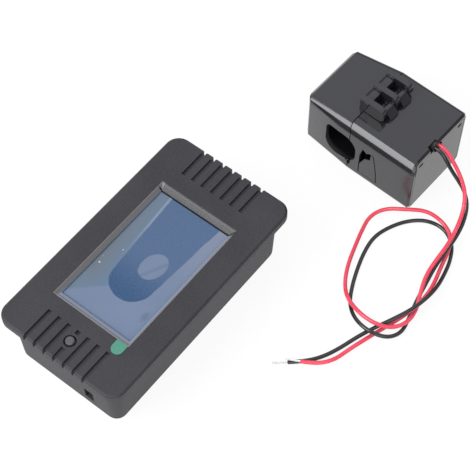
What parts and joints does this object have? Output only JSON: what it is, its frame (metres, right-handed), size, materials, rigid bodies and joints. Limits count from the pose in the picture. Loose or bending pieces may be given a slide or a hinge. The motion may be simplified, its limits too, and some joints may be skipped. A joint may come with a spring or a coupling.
{
  "type": "ac power meter with split-core current sensor",
  "caption": "Flush-mount mains power meter with a glass display and one button, beside its hinged split-core current sensor on two loose leads",
  "frame": {"origin": "middle of the meter's back, which is also the surface that everything lies on", "axes": "+X along the meter away from its button, +Y across it, +Z out of its face"},
  "size_m": [0.1571, 0.099, 0.0329],
  "materials": {
    "housing": "fine matt texture, flame-retardant ABS",
    "film": "clear bluish protective film",
    "tab": "green film tab",
    "glass": "display glass",
    "diffuser": "white optical sheet",
    "lamp": "white diode bar",
    "strip": "zebra elastomer",
    "board": "glass-epoxy laminate, solder mask",
    "steel": "zinc-plated steel",
    "spring_steel": "spring steel",
    "button": "black, slightly glossy",
    "switch": "switch body",
    "terminal": "green terminal moulding",
    "nickel": "nickel-plated brass",
    "chip": "moulded epoxy",
    "resistor": "blue lacquer",
    "varistor": "blue epoxy dip",
    "film_cap": "yellow case",
    "can": "sleeved aluminium can",
    "sensor": "polished black",
    "core": "sintered ferrite",
    "bobbin": "natural nylon",
    "copper": "enamelled copper",
    "clamp": "soft black rubber",
    "red": "red PVC insulation",
    "black": "black PVC insulation",
    "tin": "tinned copper strands"
  },
  "bodies": {
    "meter": {"front_housing": "housing", "back_cover": "housing", "protective_film": "film", "pull_tab": "tab", "front_glass": "glass", "rear_glass": "glass", "diffuser": "diffuser", "backlight_guide": "diffuser", "backlight_lamp": "lamp", "contact_strip": "strip", "main_board": "board", "board_screws": "steel", "push_switch": "switch", "terminal_block": "terminal", "terminal_screws": "nickel", "terminal_cages": "nickel", "terminal_contacts": "nickel", "metering_chip": "chip", "controller_chip": "chip", "burden_resistor": "resistor", "surge_disc": "varistor", "film_capacitor": "film_cap", "filter_capacitor": "can"},
    "button": {"button_cap": "button", "switch_plunger": "button"},
    "sensor": {"fixed_shell": "sensor", "fixed_core": "core", "bobbin": "bobbin", "winding": "copper", "hinge_pin": "steel", "end_cover": "sensor", "lead_clamp": "clamp", "red_lead": "red", "black_lead": "black", "red_tinned_end": "tin", "black_tinned_end": "tin"},
    "gate": {"gate_shell": "sensor", "gate_core": "core", "core_spring": "spring_steel"},
    "tongue": {"release_tongue": "sensor"}
  },
  "joints": [
    {"name": "button_press", "type": "slide", "parent": "meter", "child": "button", "axis": [0, 0, -1], "range_m": [0, 0.00035], "stiffness_N_per_m": 3000, "springref_m": -0.0002},
    {"name": "sensor_lift", "type": "slide", "parent": "meter", "child": "sensor", "axis": [0, 0, 1], "range_m": [0, 0.06]},
    {"name": "gate_hinge", "type": "hinge", "parent": "sensor", "child": "gate", "pos_m": [0.0971, -0.02748, 0.0295], "axis": [0.9991, -0.0419, 0], "range_deg": [0, 100]},
    {"name": "tongue_flex", "type": "hinge", "parent": "sensor", "child": "tongue", "pos_m": [0.08289, -0.02928, 0.0036], "axis": [0.0419, 0.9991, 0], "range_deg": [0, 3.5], "stiffness_Nm_per_rad": 0.5}
  ]
}
